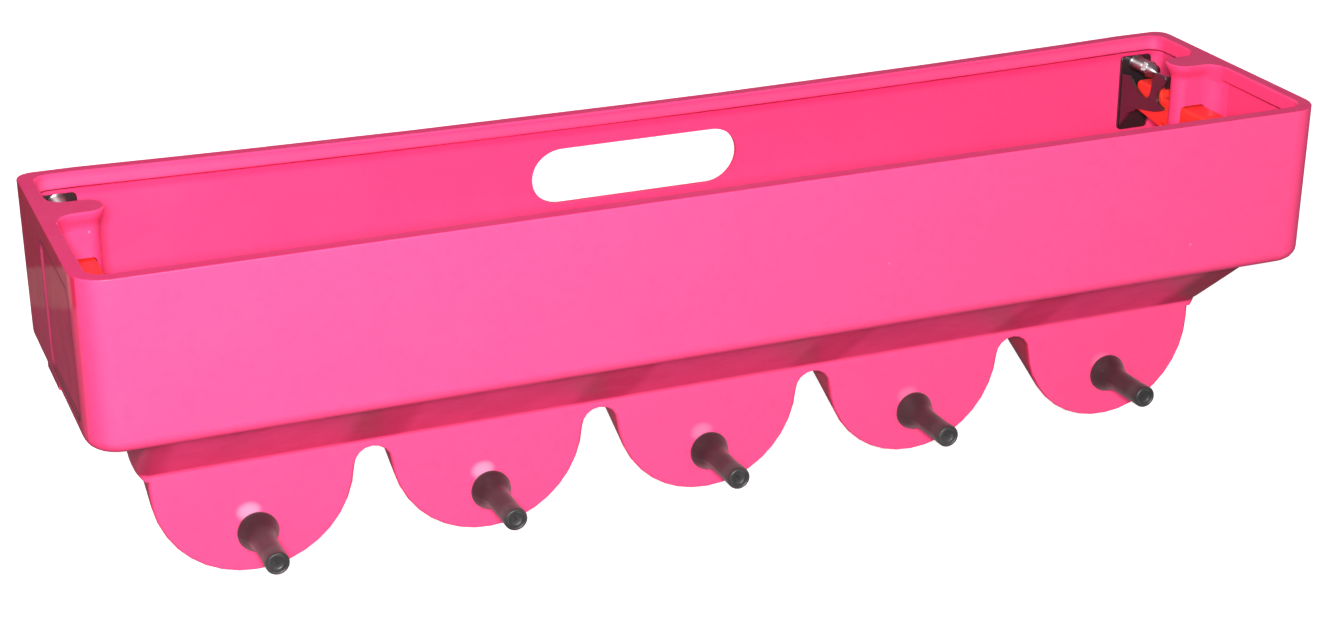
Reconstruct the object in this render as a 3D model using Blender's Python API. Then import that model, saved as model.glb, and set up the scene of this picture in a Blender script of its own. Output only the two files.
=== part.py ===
"""Multi-teat milk feeder: a moulded trough that hangs by two hooks from a gate rail.

Five scoop-shaped pockets under the trough each carry one rubber teat. At each end a steel
hook goes over the rail, and a sliding latch under it stops the feeder being lifted off.

Frame: metres. +X runs along the feeder, -Y is its front, where the animals drink, and +Z is up.
The origin is the centre of the back wall's outer face, which lies against the gate.
"""
import math

import bmesh
import bpy

# Trough
LENGTH = 1.000             # over the rim, end to end
DEPTH = 0.240              # over the rim, front to back
TROUGH_HEIGHT = 0.1325     # rim to the flat underside at the ends
WALL = 0.0045              # moulded wall
WALL_LEAN = 0.0012         # how far the front and the ends lean in at the bottom
CORNER_RADIUS = 0.026      # outer upright corners at the front
REAR_RADIUS = 0.013        # and at the back
LIP_RADIUS = 0.012         # smallest corner of the lip's inner edge
UNDER_RADIUS = 0.012       # rounding from the walls to the underside
FLOOR_RADIUS = 0.008       # the same inside
RIM_WIDTH = 0.012          # flat top of the rolled lip
RIM_HEIGHT = 0.013         # how far the lip hangs down inside
RIM_EDGE = 0.0013          # rounding of the lip's edges
ORIGIN_BELOW_RIM = 0.108   # the origin is this far under the rim

# Pockets
POCKET_COUNT = 5
POCKET_END = 0.0540        # end of the trough to the end pocket's side
POCKET_RADIUS = 0.0780
POCKET_BOTTOM = 0.2860     # rim to the lowest point
POCKET_SETBACK = 0.088     # front of the trough to the flat pocket faces
POCKET_RISE = 0.45         # the scoops climb this much for each metre to the back
POCKET_EDGE = 0.0035       # rounding of the pocket faces' edge
ARCH_RISE = 0.0860         # lowest point to the top of the arch between two pockets
BACK_STEP = 0.002          # pockets stop this far inside the trough's back

# Hopper between the trough and the pockets, with a sloping front
SLOPE_START = 0.016        # front of the trough to where the slope begins
SLOPE_END_RISE = 0.0945    # pockets' lowest point to where the slope meets their faces
SLOPE_FILLET = 0.008
HOPPER_SIDE = 0.0098       # how far each end stands out beyond the end pockets
LEDGE_RISE = 0.0872        # pockets' lowest point to the hopper's lower edge over their faces
HOPPER_CORNER = 0.010      # its upright corners
HOPPER_NOSE = 0.0220       # height over which its lower ends round off

# The long back wall is bowed in by this much at mid-length, at the rim
BOW = 0.016
BOW_HEIGHT = 0.098         # the bow starts this far under the rim

# Handle slot in the back wall
SLOT_LENGTH = 0.180
SLOT_SHIFT = -0.004        # the slot sits this far left of the middle
SLOT_HEIGHT = 0.049
SLOT_BELOW_RIM = 0.0570    # rim to the slot's centre line

# Shallow panel in each end wall
PANEL_DEPTH = 0.0015
PANEL_FRONT = 0.028        # front of the trough to the panel
PANEL_BACK = 0.140         # front of the trough to the panel's rear edge
PANEL_BELOW_RIM = 0.016
PANEL_HEIGHT = 0.098

# Boss at each end, which guides the latch
LATCH_FROM_END = 0.029     # end of the trough to the latch's centre line
BOSS_REACH = 0.050         # how far the boss's rim-level top reaches in from the end
BOSS_FRONT = 0.136         # front of the trough to the top's front edge
BOSS_DEPTH = 0.029
BOSS_OVERHANG = 0.005      # the column stands this far inside its top
BOSS_FLARE = 0.0145        # height over which the column widens to its top
BOSS_RADIUS = 0.013
BOSS_ROOT_RADIUS = 0.014
HOLLOW_RADIUS = 0.0015     # corners of the hollow that the latch slides in

# Teats
TEAT_RISE = 0.0345         # pockets' lowest point to the teats' axis
TEAT_DRIFT = 0.0030        # each hole right of the middle one is this much higher than the last
TEAT_LIFT = 0.0020         # the soft tips point up by this much
TEAT_LENGTH = 0.062        # beyond the pocket face
TEAT_BASE_RADIUS = 0.016
TEAT_SHAFT_RADIUS = 0.0095
TEAT_TIP_RADIUS = 0.0088
TEAT_GROOVE_RADIUS = 0.0105
TEAT_FLANGE_RADIUS = 0.0140
TEAT_FLANGE = 0.0030
TEAT_BORE_RADIUS = 0.0040
TEAT_OUTLET_RADIUS = 0.0012

# Hanging hook and its fasteners
STRAP_WIDTH = 0.030
STRAP = 0.003              # thickness of the hook's strap
HOOK_MOUTH = 0.034         # clear width for the rail
HOOK_TOP = 0.015           # rim down to the hook's upper face
HOOK_BEND = 0.002          # inner radius of its bends
HOOK_TIP = 0.062           # rim down to the end of its free leg
HOOK_FOOT = 0.085          # rim down to the foot of its fixed leg
STUD_RADIUS = 0.004
STUD_BELOW_RIM = 0.0245
WASHER_RADIUS = 0.0075
WASHER = 0.0016
SLEEVE_RADIUS = 0.0066
SLEEVE_LENGTH = 0.015
NUT_ACROSS_FLATS = 0.013
NUT_HEX = 0.0070
NUT_DOME = 0.0095
DOME_SKIRT = 0.35          # share of the cap's height that stands before its round begins

# Guide bracket inside the back wall
BRACKET = 0.0025           # sheet thickness
BRACKET_TOP = 0.0170       # rim down to the plate's top
BRACKET_FOOT = 0.085
EAR_FRONT = 0.0730         # back face to the front edge of the cheeks' legs
EAR_LEG = 0.0125
EAR_TOE = 0.0465           # rim down to the cheeks' lower edge at the legs' front
EAR_HEEL = 0.0550          # and where it turns down to the plate's foot
EAR_HEEL_BACK = 0.035      # back face to that turn
EAR_BAY_CENTRE = 0.0095    # rim down to the centre of the round bay behind the legs
EAR_BAY_RADIUS = 0.0285
EAR_NOTCH = 0.003          # hollow in the legs' front edge
HEADER_HEIGHT = 0.0115

# Sliding latch
GRIP_WIDTH = 0.022
GRIP_TOP = 0.0328          # rim down to the top of the rear half
GRIP_FOOT = 0.0650
GRIP_TAIL_FOOT = 0.0600    # the underside rises to this at its rear end
HANDLE_TOP = 0.0380        # rim down to the top of the front half
HANDLE_FOOT = 0.0617
HANDLE_REACH = 0.040       # how far the handle stands out of the boss
HANDLE_CHAMFER = 0.003
GRIP_BACK = 0.027          # back face to the grip's rear end
BLADE = 0.006              # thickness
BLADE_TOP = 0.045          # rim down to the blade
BLADE_HEIGHT = 0.016
BLADE_REACH = 0.030        # how far the nose stands out behind the back face
BLADE_SOCKET = 0.034       # how far the blade sits in the grip
LATCH_TRAVEL = 0.027       # how far the latch pulls forward

# Clearances
GAP = 0.0003               # between faces that touch
SIDE_PLAY = 0.0006         # each side of a sliding piece
TOP_PLAY = 0.0015          # over the latch in the boss's openings
HOLE_PLAY = 0.0004         # round a stud or a nut's thread

# Places worked out from the sizes above
RIM = ORIGIN_BELOW_RIM
FRONT = -DEPTH
FLOOR = RIM - TROUGH_HEIGHT
MIDDLE_X = LENGTH / 2
POCKET_FACE = FRONT + POCKET_SETBACK
POCKET_LOWEST = RIM - POCKET_BOTTOM
POCKET_AXIS = POCKET_LOWEST + POCKET_RADIUS
POCKET_PITCH = (LENGTH - 2 * (POCKET_END + POCKET_RADIUS)) / (POCKET_COUNT - 1)
ARCH_TOP = POCKET_LOWEST + ARCH_RISE
SLOPE_FOOT = POCKET_LOWEST + SLOPE_END_RISE
LEDGE = POCKET_LOWEST + LEDGE_RISE
LATCH_X = MIDDLE_X - LATCH_FROM_END
BOSS_TIP = MIDDLE_X - BOSS_REACH
BOSS_NEAR = FRONT + BOSS_FRONT
BOSS_FAR = BOSS_NEAR + BOSS_DEPTH
COLUMN_NEAR = BOSS_NEAR + BOSS_OVERHANG
COLUMN_FAR = BOSS_FAR - BOSS_OVERHANG
SHOULDER = COLUMN_NEAR + WALL + LATCH_TRAVEL + GAP
BRACKET_FRONT = -WALL - GAP - BRACKET
WASHER_FRONT = BRACKET_FRONT - GAP - WASHER
SLEEVE_FRONT = WASHER_FRONT - GAP - SLEEVE_LENGTH
NUT_SEAT = SLEEVE_FRONT - GAP
NUT_BORE_END = NUT_SEAT - NUT_HEX - NUT_DOME * 0.55
STUD_END = NUT_BORE_END + 0.001

BOW_SPAN = LATCH_X - STRAP_WIDTH / 2 - GAP * 4
CORNER_STEPS = 6
BOW_STEPS = 14
ROUND_STEPS = 28

PINK = (0.83, 0.07, 0.23)
RUBBER = (0.035, 0.030, 0.030)
BLACK_STEEL = (0.030, 0.026, 0.028)
CHROME = (0.75, 0.75, 0.77)
ORANGE_RED = (0.85, 0.045, 0.025)


def clear_scene():
    """Remove whatever the file holds, so that the model starts alone."""
    for thing in list(bpy.data.objects):
        bpy.data.objects.remove(thing, do_unlink=True)


def make_material(name, colour, roughness, metallic=0.0):
    """A plain shader with the part's colour."""
    material = bpy.data.materials.new(name)
    material.use_nodes = True
    shader = material.node_tree.nodes["Principled BSDF"]
    shader.inputs["Base Color"].default_value = (*colour, 1.0)
    shader.inputs["Roughness"].default_value = roughness
    shader.inputs["Metallic"].default_value = metallic
    return material


def finish_mesh(name, mesh_builder):
    """Turn a bmesh into an object whose faces point out."""
    bmesh.ops.recalc_face_normals(mesh_builder, faces=mesh_builder.faces)
    mesh = bpy.data.meshes.new(name)
    mesh_builder.to_mesh(mesh)
    mesh_builder.free()
    thing = bpy.data.objects.new(name, mesh)
    bpy.context.collection.objects.link(thing)
    return thing


def loft(name, rings, closed=False):
    """A solid through rings that have the same number of points, capped at both ends."""
    builder = bmesh.new()
    loops = [[builder.verts.new(point) for point in ring] for ring in rings]
    pairs = list(zip(loops, loops[1:]))
    if closed:
        pairs.append((loops[-1], loops[0]))
    for lower, upper in pairs:
        for i in range(len(lower)):
            j = (i + 1) % len(lower)
            builder.faces.new((lower[i], lower[j], upper[j], upper[i]))
    if not closed:
        builder.faces.new(loops[0][::-1])
        builder.faces.new(loops[-1])
    return finish_mesh(name, builder)


def extrude_x(name, outline, x_low, x_high):
    """A solid with a (y, z) outline between two X values."""
    return loft(name, [[(x, y, z) for y, z in outline] for x in (x_low, x_high)])


def extrude_y(name, outline, y_low, y_high):
    """A solid with an (x, z) outline between two Y values."""
    return loft(name, [[(x, y, z) for x, z in outline] for y in (y_low, y_high)])


def extrude_z(name, outline, z_low, z_high):
    """A solid with an (x, y) outline between two Z values."""
    return loft(name, [[(x, y, z) for x, y in outline] for z in (z_low, z_high)])


def turn_about_y(name, profile, x, z, steps=ROUND_STEPS):
    """A ring-shaped solid: a closed (radius, y) profile turned round an axis along Y."""
    rings = []
    for k in range(steps):
        angle = 2 * math.pi * k / steps
        rings.append([(x + r * math.cos(angle), y, z + r * math.sin(angle)) for r, y in profile])
    return loft(name, rings, closed=True)


def rod_y(name, radius, x, z, y_low, y_high, steps=ROUND_STEPS):
    """A round bar along Y."""
    angles = [2 * math.pi * k / steps for k in range(steps)]
    outline = [(x + radius * math.cos(a), z + radius * math.sin(a)) for a in angles]
    return extrude_y(name, outline, y_low, y_high)


def combine(target, tool, operation):
    """Join a tool to a solid, or cut it away, and drop the tool."""
    modifier = target.modifiers.new("combine", "BOOLEAN")
    modifier.operation = operation
    modifier.solver = "EXACT"
    modifier.object = tool
    graph = bpy.context.evaluated_depsgraph_get()
    result = bpy.data.meshes.new_from_object(target.evaluated_get(graph))
    target.modifiers.clear()
    target.data = result
    bpy.data.objects.remove(tool, do_unlink=True)


def cut(target, tool):
    combine(target, tool, "DIFFERENCE")


def join(target, tool):
    combine(target, tool, "UNION")


def arc(centre, radius, start, end, steps):
    """Points on an arc, ends included, with angles in degrees."""
    points = []
    for k in range(steps + 1):
        angle = math.radians(start + (end - start) * k / steps)
        points.append((centre[0] + radius * math.cos(angle), centre[1] + radius * math.sin(angle)))
    return points


def rounded_box(x_low, x_high, y_low, y_high, radius, steps=CORNER_STEPS, rear=None):
    """Outline of a rectangle with round corners, counter-clockwise; the rear ones may differ."""
    rear = radius if rear is None else rear
    points = []
    points += arc((x_high - radius, y_low + radius), radius, -90, 0, steps)
    points += arc((x_high - rear, y_high - rear), rear, 0, 90, steps)
    points += arc((x_low + rear, y_high - rear), rear, 90, 180, steps)
    points += arc((x_low + radius, y_low + radius), radius, 180, 270, steps)
    return points


def bow(x, z):
    """How far the back wall stands in from its plane: nothing low down or near the hooks."""
    across = max(0.0, 1 - (x / BOW_SPAN) ** 2)
    up = min(max(0.0, 1 - (RIM - z) / BOW_HEIGHT), 1.0)
    return BOW * across * up ** 1.7


def trough_ring(z, inset, tightest=0.001):
    """One level of the trough, set in from its outer walls, which lean except at the back."""
    lean = WALL_LEAN * (RIM - z) / TROUGH_HEIGHT
    half = MIDDLE_X - inset - lean
    front = max(CORNER_RADIUS - inset, tightest)
    rear = max(REAR_RADIUS - inset, tightest)
    corners = rounded_box(-half, half, FRONT + inset + lean, -inset, front, rear=rear)
    middle = len(corners) // 2
    steps = [BOW_SPAN * (1 - 2 * k / BOW_STEPS) for k in range(BOW_STEPS + 1)]
    back = [(x, -inset - bow(x, z)) for x in steps]
    outline = corners[:middle] + back + corners[middle:]
    return [(x, y, z) for x, y in outline]


def trough_outside():
    """The solid outer form of the trough."""
    edge = RIM_EDGE
    levels = [(RIM, edge), (RIM - edge * 0.3, edge * 0.3), (RIM - edge, 0.0)]
    levels += [(RIM - edge - (BOW_HEIGHT - edge) * k / 4, 0.0) for k in range(1, 5)]
    for k in range(CORNER_STEPS + 1):
        angle = math.radians(90 * k / CORNER_STEPS)
        inset = UNDER_RADIUS * (1 - math.cos(angle))
        levels.append((FLOOR + UNDER_RADIUS * (1 - math.sin(angle)), inset))
    return loft("trough", [trough_ring(z, inset) for z, inset in levels])


def trough_inside():
    """The hollow of the trough: narrow through the lip, wider under it."""
    edge = RIM_EDGE
    under_lip = RIM - RIM_HEIGHT
    lip = [(RIM + WALL, RIM_WIDTH - edge), (RIM, RIM_WIDTH - edge), (RIM - edge, RIM_WIDTH),
           (under_lip + edge, RIM_WIDTH), (under_lip, RIM_WIDTH - edge)]
    rings = [trough_ring(z, inset, LIP_RADIUS) for z, inset in lip]
    depth = RIM_HEIGHT + edge
    levels = [(RIM - depth - (BOW_HEIGHT - depth) * k / 3, WALL) for k in range(4)]
    steps = CORNER_STEPS - 2
    for k in range(steps + 1):
        angle = math.radians(90 * k / steps)
        inset = WALL + FLOOR_RADIUS * (1 - math.cos(angle))
        levels.append((FLOOR + WALL + FLOOR_RADIUS * (1 - math.sin(angle)), inset))
    rings += [trough_ring(z, inset, WALL / 2) for z, inset in levels]
    return loft("trough_hollow", rings)


def pocket_x(index):
    return (index - (POCKET_COUNT - 1) / 2) * POCKET_PITCH


def arch_circle():
    """Radius and axis height of the round arch that touches both neighbouring pockets."""
    half = POCKET_PITCH / 2
    top = ARCH_TOP - POCKET_AXIS
    # the arch circle touches the pocket circles: half^2 + (top - r)^2 = (R + r)^2
    radius = (half ** 2 + top ** 2 - POCKET_RADIUS ** 2) / (2 * (POCKET_RADIUS + top))
    return radius, ARCH_TOP - radius


def scoop_outline(inset):
    """(x, z) outline of the row of pockets, set in from its outer face."""
    arch_radius, arch_axis = arch_circle()
    radius = POCKET_RADIUS - inset
    swing = math.degrees(math.asin((POCKET_AXIS - arch_axis) / (POCKET_RADIUS + arch_radius)))
    outline = []
    for index in range(POCKET_COUNT):
        first = index == 0
        last = index == POCKET_COUNT - 1
        start = 180 if first else 180 + swing
        end = 360 if last else 360 - swing
        outline += arc((pocket_x(index), POCKET_AXIS), radius, start, end, 18)
        if not last:
            middle = (pocket_x(index) + POCKET_PITCH / 2, arch_axis)
            over = arc(middle, arch_radius + inset, 180 - swing, swing, 8)
            outline += over[1:-1]
    return outline


def scoop_ring(y, inset, top):
    """The row of pockets at one depth, with straight sides up to a given height."""
    climb = POCKET_RISE * (y - POCKET_FACE)
    side = pocket_x(POCKET_COUNT - 1) + POCKET_RADIUS - inset
    points = [(x, y, z + climb) for x, z in scoop_outline(inset)]
    return points + [(side, y, top), (-side, y, top)]


def scoops_outside():
    top = FLOOR + UNDER_RADIUS
    back = -BACK_STEP
    rings = []
    for k in range(4):
        angle = math.radians(90 * k / 3)
        depth = POCKET_EDGE * (1 - math.cos(angle))
        rings.append(scoop_ring(POCKET_FACE + depth, POCKET_EDGE * (1 - math.sin(angle)), top))
    rings.append(scoop_ring(back - POCKET_EDGE, 0.0, top))
    rings.append(scoop_ring(back, POCKET_EDGE, top))
    return loft("scoops", rings)


def scoops_inside():
    top = FLOOR + WALL + FLOOR_RADIUS * 2
    front = POCKET_FACE + WALL
    back = -BACK_STEP - WALL
    rings = [scoop_ring(front, WALL + POCKET_EDGE, top)]
    rings.append(scoop_ring(front + POCKET_EDGE * 0.3, WALL + POCKET_EDGE * 0.3, top))
    rings.append(scoop_ring(front + POCKET_EDGE, WALL, top))
    rings.append(scoop_ring(back - POCKET_EDGE, WALL, top))
    rings.append(scoop_ring(back, WALL + POCKET_EDGE, top))
    return loft("scoop_hollows", rings)


def hopper_front(z, inset):
    """Y of the hopper's front at a level: the slope, a fillet, then the pocket faces' plane."""
    steep = (FLOOR - SLOPE_FOOT) / (POCKET_SETBACK - SLOPE_START)
    lean = math.atan(steep)
    start = FRONT + SLOPE_START + inset / math.sin(lean)
    face = POCKET_FACE + inset + GAP / 2
    corner = FLOOR - steep * (face - start)
    radius = SLOPE_FILLET + inset
    reach = radius * math.tan((math.pi / 2 - lean) / 2)
    low, high = corner - reach, corner + reach * math.sin(lean)
    if z >= high:
        return start + (FLOOR - z) / steep
    if z <= low:
        return face
    return face - radius + math.sqrt(radius ** 2 - (z - low) ** 2)


def hopper_ring(z, inset):
    """One level of the hopper, from its sloping front to the climbing ledge at its back."""
    front = max(hopper_front(z, inset), FRONT + inset + WALL_LEAN * 2)
    climb = math.atan(POCKET_RISE)
    back = POCKET_FACE + (z - LEDGE) / POCKET_RISE - inset / math.sin(climb)
    back = min(back, -BACK_STEP - inset)
    below = min(1.0, max(0.0, LEDGE + HOPPER_NOSE + inset - z) / HOPPER_NOSE)
    nose = HOPPER_SIDE * below ** 3
    half = pocket_x(POCKET_COUNT - 1) + POCKET_RADIUS + HOPPER_SIDE - inset - nose
    radius = min(HOPPER_CORNER - inset / 2, (back - front) * 0.4)
    return [(x, y, z) for x, y in rounded_box(-half, half, front, back, radius, 5)]


def hopper(name, inset):
    """The hopper's outer form, or its hollow when set in by the wall."""
    back_level = LEDGE + (-BACK_STEP - POCKET_FACE) * POCKET_RISE
    levels = [FLOOR + UNDER_RADIUS * 0.9 + inset * 2, back_level + inset / 2]
    lowest = LEDGE + 0.0022 + inset * 1.3
    highest = SLOPE_FOOT + 0.006 + inset
    levels += [highest + (lowest - highest) * k / 6 for k in range(7)]
    return loft(name, [hopper_ring(z, inset) for z in levels])


def tab_outline(side, tip, near, far, tip_radius, root_radius, root):
    """(x, y) outline of a tab that stands out from an end wall, with filleted roots."""
    near_tip = arc((tip + tip_radius, near + tip_radius), tip_radius, 270, 180, CORNER_STEPS)
    far_tip = arc((tip + tip_radius, far - tip_radius), tip_radius, 180, 90, CORNER_STEPS)
    near_root = arc((root - root_radius, near - root_radius), root_radius, 0, 90, 4)
    far_root = arc((root - root_radius, far + root_radius), root_radius, 270, 360, 4)
    buried = root + RIM_WIDTH / 3
    points = [(buried, near - root_radius)] + near_root + near_tip + far_tip + far_root
    points.append((buried, far + root_radius))
    return [(side * x, y) for x, y in points]


def boss(side):
    """Column with a rim-level top, joined to the end wall."""
    column = tab_outline(side, BOSS_TIP + BOSS_OVERHANG, COLUMN_NEAR, COLUMN_FAR,
                         BOSS_RADIUS - BOSS_OVERHANG * 0.8, BOSS_ROOT_RADIUS, MIDDLE_X - WALL * 1.4)
    solid = extrude_z("boss", column, FLOOR + WALL / 2, RIM - BOSS_FLARE / 2)
    levels = [(BOSS_FLARE, 1.0), (BOSS_FLARE * 0.85, 0.92), (BOSS_FLARE * 0.65, 0.68),
              (BOSS_FLARE * 0.45, 0.34), (BOSS_FLARE * 0.25, 0.08)]
    levels = [(RIM - below, BOSS_OVERHANG * share) for below, share in levels]
    levels += [(RIM - RIM_EDGE, 0.0), (RIM, RIM_EDGE)]
    rings = []
    for z, inset in levels:
        outline = tab_outline(side, BOSS_TIP + inset, BOSS_NEAR + inset, BOSS_FAR - inset,
                              BOSS_RADIUS - inset * 0.8, BOSS_ROOT_RADIUS, MIDDLE_X - RIM_WIDTH)
        rings.append([(x, y, z) for x, y in outline])
    join(solid, loft("boss_top", rings))
    return solid


def boss_hollow(side):
    """The column is open from below."""
    inner = BOSS_TIP + BOSS_OVERHANG + WALL
    outer = MIDDLE_X - WALL - WALL_LEAN
    outline = rounded_box(inner, outer, COLUMN_NEAR + WALL, COLUMN_FAR - WALL,
                          HOLLOW_RADIUS, 3)
    outline = [(side * x, y) for x, y in outline]
    return extrude_z("boss_hollow", outline, FLOOR - WALL, RIM - WALL)


def arch_outline(side, low, high, half):
    """(x, z) outline of a latch opening with a round top."""
    radius = TOP_PLAY * 2.5
    x = side * LATCH_X
    points = [(x - half, low), (x + half, low)]
    points += arc((x + half - radius, high - radius), radius, 0, 90, 4)
    points += arc((x - half + radius, high - radius), radius, 90, 180, 4)
    return points


def cut_latch_way(trough, side):
    """Openings that the latch slides in: the boss's front and rear walls and the back wall."""
    half = GRIP_WIDTH / 2 + SIDE_PLAY
    front = arch_outline(side, RIM - HANDLE_FOOT - GAP, RIM - HANDLE_TOP + TOP_PLAY, half)
    cut(trough, extrude_y("front_arch", front, BOSS_NEAR, COLUMN_NEAR + WALL * 1.5))
    rear = arch_outline(side, RIM - GRIP_FOOT - SIDE_PLAY, RIM - GRIP_TOP + TOP_PLAY, half)
    cut(trough, extrude_y("rear_arch", rear, COLUMN_FAR - WALL * 1.5, BOSS_FAR))
    way = rounded_box(side * LATCH_X - BLADE / 2 - SIDE_PLAY * 2,
                      side * LATCH_X + BLADE / 2 + SIDE_PLAY * 2,
                      RIM - BLADE_TOP - BLADE_HEIGHT - SIDE_PLAY * 2,
                      RIM - BLADE_TOP + SIDE_PLAY * 2, 0.002, 2)
    cut(trough, extrude_y("blade_way", way, -WALL * 2, WALL))
    stud_hole = rod_y("stud_hole", STUD_RADIUS + HOLE_PLAY, side * LATCH_X,
                      RIM - STUD_BELOW_RIM, -WALL * 2, WALL, 20)
    cut(trough, stud_hole)


def end_panel(side):
    """Shallow recess in an end wall, behind the feeder's front corner."""
    y_low, y_high = FRONT + PANEL_FRONT, FRONT + PANEL_BACK
    high = RIM - PANEL_BELOW_RIM
    low = high - PANEL_HEIGHT
    middle = (low + high) / 2
    floor = MIDDLE_X - WALL_LEAN * (RIM - middle) / TROUGH_HEIGHT - PANEL_DEPTH
    rings = []
    for x, grow in ((floor, -PANEL_DEPTH * 0.6), (floor + PANEL_DEPTH * 4, PANEL_DEPTH * 1.8)):
        outline = rounded_box(y_low - grow, y_high + grow, low - grow, high + grow, 0.010, 4)
        rings.append([(side * x, y, z) for y, z in outline])
    return loft("end_panel", rings)


def build_trough(material):
    """The one-piece moulding: walls, lip, slope, five scoops, two bosses and the handle slot."""
    trough = trough_outside()
    join(trough, scoops_outside())
    join(trough, hopper("hopper", 0.0))
    hollow = trough_inside()
    join(hollow, scoops_inside())
    join(hollow, hopper("hopper_hollow", WALL))
    cut(trough, hollow)
    for side in (-1, 1):
        join(trough, boss(side))
        cut(trough, boss_hollow(side))
        cut_latch_way(trough, side)
        cut(trough, end_panel(side))
    half = SLOT_LENGTH / 2
    slot = rounded_box(SLOT_SHIFT - half, SLOT_SHIFT + half, RIM - SLOT_BELOW_RIM - SLOT_HEIGHT / 2,
                       RIM - SLOT_BELOW_RIM + SLOT_HEIGHT / 2, SLOT_HEIGHT / 2 - 0.0001, 10)
    cut(trough, extrude_y("handle_slot", slot, -BOW - WALL * 2, WALL))
    for index in range(POCKET_COUNT):
        hole = rod_y("teat_hole", TEAT_GROOVE_RADIUS + GAP, pocket_x(index), teat_height(index),
                     POCKET_FACE - WALL, POCKET_FACE + WALL * 2)
        cut(trough, hole)
    trough.data.materials.clear()
    trough.data.materials.append(material)


def teat_height(index):
    right_of_middle = max(0.0, index - (POCKET_COUNT - 1) / 2)
    return POCKET_LOWEST + TEAT_RISE + TEAT_DRIFT * right_of_middle


def build_teat(index, material):
    """Push-in rubber teat: flange inside, groove for the wall, cone, shaft and round tip."""
    face = POCKET_FACE - GAP
    inner = POCKET_FACE + WALL + GAP
    tip = face - TEAT_LENGTH
    profile = [
        (TEAT_BORE_RADIUS, inner + TEAT_FLANGE),
        (TEAT_FLANGE_RADIUS, inner + TEAT_FLANGE),
        (TEAT_FLANGE_RADIUS, inner),
        (TEAT_GROOVE_RADIUS, inner),
        (TEAT_GROOVE_RADIUS, face),
        (TEAT_BASE_RADIUS - 0.0010, face),
        (TEAT_BASE_RADIUS, face - 0.0012),
        (TEAT_BASE_RADIUS - 0.0004, face - 0.0040),
        (TEAT_BASE_RADIUS - 0.0024, face - 0.0085),
        (TEAT_BASE_RADIUS - 0.0046, face - 0.0135),
        (TEAT_SHAFT_RADIUS + 0.0005, face - 0.0190),
        (TEAT_SHAFT_RADIUS, face - 0.0240),
        (TEAT_TIP_RADIUS + 0.0002, face - TEAT_LENGTH * 0.75),
        (TEAT_TIP_RADIUS, tip + 0.0030),
        (TEAT_TIP_RADIUS - 0.0007, tip + 0.0009),
        (TEAT_TIP_RADIUS - 0.0020, tip),
        (TEAT_TIP_RADIUS - 0.0032, tip + 0.0004),
        (TEAT_TIP_RADIUS - 0.0044, tip + 0.0026),
        (TEAT_OUTLET_RADIUS, tip + 0.0036),
        (TEAT_OUTLET_RADIUS, tip + 0.0080),
        (TEAT_BORE_RADIUS, tip + 0.0130),
    ]
    teat = turn_about_y(f"teat_{index + 1}", profile, pocket_x(index), teat_height(index), 24)
    for vertex in teat.data.vertices:
        ahead = max(0.0, face - TEAT_LENGTH / 10 - vertex.co.y) / (TEAT_LENGTH * 0.9)
        vertex.co.z += TEAT_LIFT * ahead
    teat.data.materials.append(material)


def strap_outline():
    """(y, z) outline of the hook: up the wall, over the rail and down behind it."""
    wall_side = GAP
    bend = HOOK_BEND + STRAP
    top = RIM - HOOK_TOP
    inner_back = wall_side + STRAP + HOOK_MOUTH
    outer_back = inner_back + STRAP
    outer = [(wall_side, RIM - HOOK_FOOT)]
    outer += arc((wall_side + bend, top - bend), bend, 180, 90, 5)
    outer += arc((outer_back - bend, top - bend), bend, 90, 0, 5)
    outer.append((outer_back, RIM - HOOK_TIP))
    inner = [(inner_back, RIM - HOOK_TIP)]
    inner += arc((outer_back - bend, top - bend), HOOK_BEND, 0, 90, 5)
    inner += arc((wall_side + bend, top - bend), HOOK_BEND, 90, 180, 5)
    inner.append((wall_side + STRAP, RIM - HOOK_FOOT))
    return outer + inner


def blade_window(name, side, y_low, y_high, play):
    """Cutter for the blade's way through a steel plate."""
    x = side * LATCH_X
    half = BLADE / 2 + play
    low, high = RIM - BLADE_TOP - BLADE_HEIGHT - play, RIM - BLADE_TOP + play
    outline = [(x - half, low), (x + half, low), (x + half, high), (x - half, high)]
    return extrude_y(name, outline, y_low, y_high)


def build_hook(side, label, material):
    """Bent strap with a welded stud that clamps it through the back wall."""
    x = side * LATCH_X
    hook = extrude_x(f"rail_hook_{label}", strap_outline(), x - STRAP_WIDTH / 2, x + STRAP_WIDTH / 2)
    stud = rod_y("stud", STUD_RADIUS, x, RIM - STUD_BELOW_RIM, STUD_END, GAP + STRAP / 2, 20)
    join(hook, stud)
    cut(hook, blade_window("hook_window", side, -WALL / 2, STRAP * 2, SIDE_PLAY))
    hook.data.materials.clear()
    hook.data.materials.append(material)


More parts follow.
